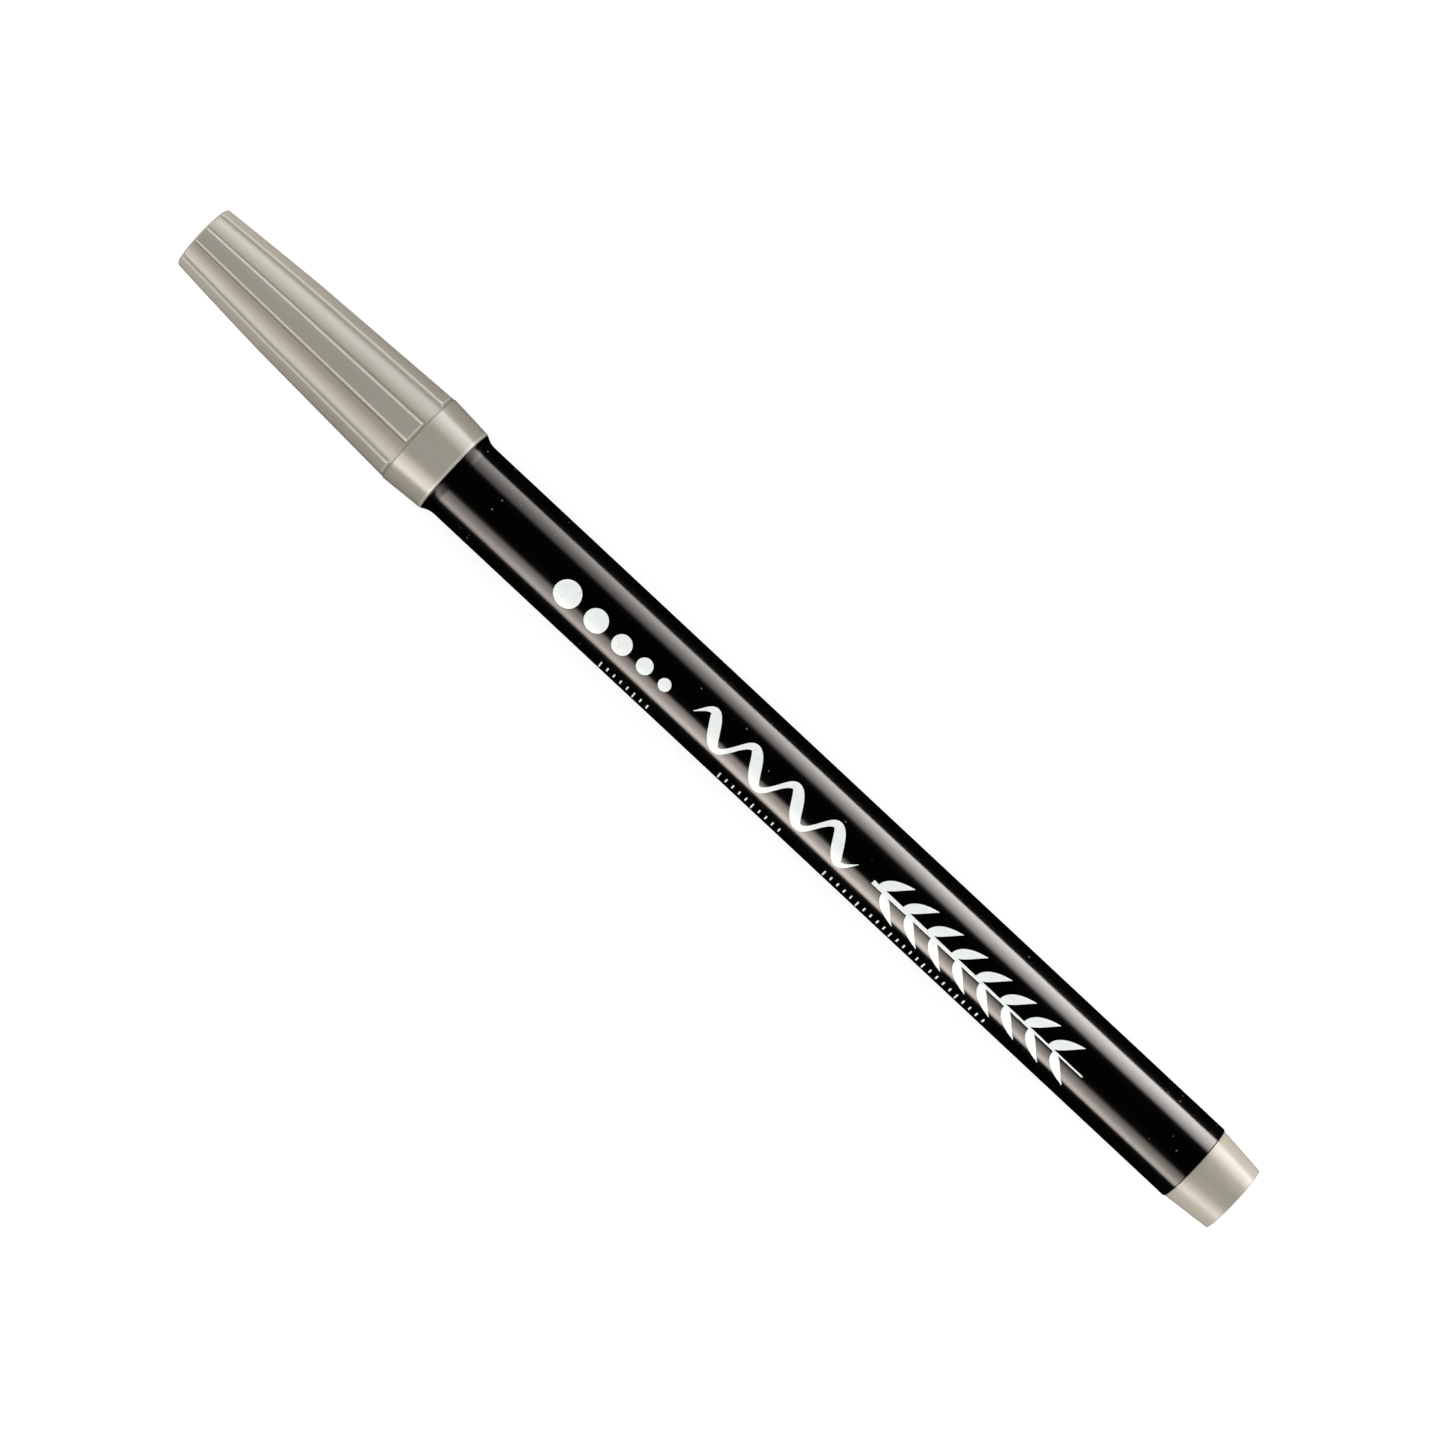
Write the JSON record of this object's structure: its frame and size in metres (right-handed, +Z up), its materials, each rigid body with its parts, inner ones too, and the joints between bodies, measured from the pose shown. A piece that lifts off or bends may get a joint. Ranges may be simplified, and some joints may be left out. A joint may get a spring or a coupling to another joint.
{
  "type": "felt tip marker",
  "caption": "Slim round felt tip marker with a ribbed pull-off cap, a brush nib under it, a glossy barrel and a tapered end plug.",
  "frame": {"origin": "under the middle of the marker's length, on the plane that it lies on, straight below its axis", "axes": "+X along the marker from the cap to the end plug, +Z up; its axis runs at the height of the cap's largest radius"},
  "size_m": [0.141, 0.0106, 0.0109],
  "materials": {
    "cap_plastic": "satin",
    "barrel_plastic": "gloss",
    "holder_plastic": "satin",
    "liner_plastic": "satin",
    "nib_fibre": "matte",
    "reservoir_fibre": "matte",
    "film_plastic": "gloss",
    "tube_plastic": "satin",
    "barrel_print": "satin"
  },
  "bodies": {
    "barrel": {"barrel": "barrel_plastic", "nib_holder": "holder_plastic", "brush_nib": "nib_fibre", "ink_reservoir": "reservoir_fibre", "reservoir_film": "film_plastic", "breather_tube": "tube_plastic", "end_plug": "cap_plastic"},
    "cap": {"cap_shell": "cap_plastic", "cap_liner": "liner_plastic"}
  },
  "joints": [
    {"name": "cap_slide", "type": "slide", "parent": "barrel", "child": "cap", "axis": [-1, 0, 0], "range_m": [0, 0.032]}
  ]
}
